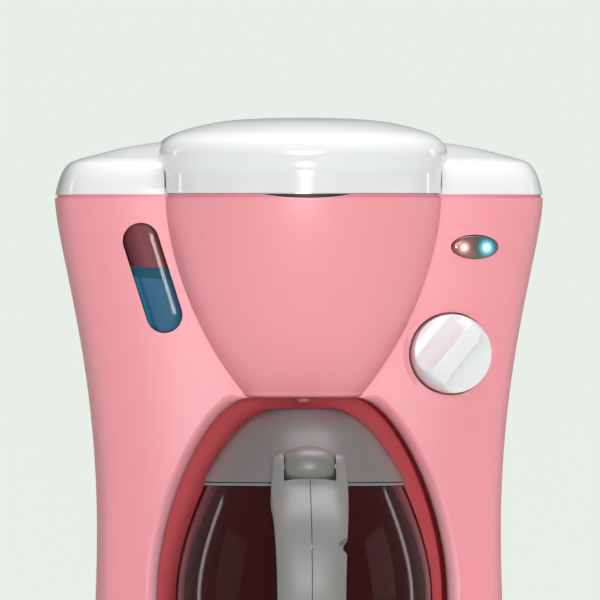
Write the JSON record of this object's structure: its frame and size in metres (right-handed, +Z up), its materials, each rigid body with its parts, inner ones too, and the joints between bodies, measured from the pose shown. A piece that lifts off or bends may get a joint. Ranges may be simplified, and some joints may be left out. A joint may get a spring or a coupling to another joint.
{
  "type": "toy filter coffee maker",
  "caption": "Toy filter coffee maker with a lift-up lid, a turning knob, a see-through water window and a carafe that slides out of an arched bay.",
  "frame": {"origin": "on the floor under the middle of the bounding box", "axes": "+Z up, -Y the front with the carafe's handle, +X the user's right, where the knob is"},
  "size_m": [0.18, 0.161, 0.2375],
  "materials": {
    "pink_plastic": "glossy",
    "white_plastic": "glossy",
    "red_plastic": "glossy",
    "grey_plastic": "glossy",
    "dark_plastic": "satin",
    "clear_plastic": "clear",
    "smoked_red": "glossy, see-through",
    "window_plastic": "glossy, see-through",
    "play_water": "clear",
    "steel": "satin",
    "rubber": "matte",
    "board": "matte",
    "lens": "glossy",
    "red_lamp": "glossy",
    "blue_lamp": "glossy",
    "cell_sleeve": "glossy",
    "wire": "matte",
    "tube": "satin"
  },
  "bodies": {
    "housing": {"front_shell": "pink_plastic", "rear_shell": "pink_plastic", "base": "pink_plastic", "bottom_plate": "dark_plastic", "rubber_feet": "rubber", "bay_liner": "red_plastic", "nozzle_plate": "red_plastic", "warming_plate": "steel", "top_cover": "white_plastic", "top_deck": "white_plastic", "lid_hinge_pins": "steel", "rear_screws": "steel", "bottom_screws": "steel", "water_tank": "clear_plastic", "water": "play_water", "water_window": "window_plastic", "filter_basket": "dark_plastic", "drip_nozzle": "pink_plastic", "pump": "dark_plastic", "inlet_tube": "tube", "outlet_tube": "tube", "water_spout": "white_plastic", "rotary_switch": "dark_plastic", "circuit_board": "board", "light_lens": "lens", "red_light": "red_lamp", "blue_light": "blue_lamp", "battery_box": "dark_plastic", "batteries": "cell_sleeve", "battery_contacts": "steel", "battery_door": "dark_plastic", "battery_door_screw": "steel", "speaker": "dark_plastic", "wire_loom": "wire"},
    "lid": {"lid": "white_plastic"},
    "knob": {"knob": "white_plastic", "knob_shaft": "steel"},
    "carafe": {"carafe_jug": "smoked_red", "carafe_bowl": "smoked_red", "carafe_collar": "grey_plastic", "handle_left": "grey_plastic", "handle_right": "grey_plastic", "handle_screws": "steel", "carafe_hinge_pin": "steel"},
    "carafe_lid": {"carafe_lid": "grey_plastic"}
  },
  "joints": [
    {"name": "lid_hinge", "type": "hinge", "parent": "housing", "child": "lid", "pos_m": [0, 0.0728, 0.215], "axis": [-1, 0, 0], "range_deg": [0, 75]},
    {"name": "knob_turn", "type": "hinge", "parent": "housing", "child": "knob", "pos_m": [0.0544, -0.00157, 0.1504], "axis": [0.165, -0.9863, 0], "range_deg": [-50, 40]},
    {"name": "carafe_slide", "type": "slide", "parent": "housing", "child": "carafe", "axis": [0, -1, 0], "range_m": [0, 0.15]},
    {"name": "carafe_lid_hinge", "type": "hinge", "parent": "carafe", "child": "carafe_lid", "pos_m": [0, -0.0555, 0.109], "axis": [1, 0, 0], "range_deg": [0, 2]}
  ]
}
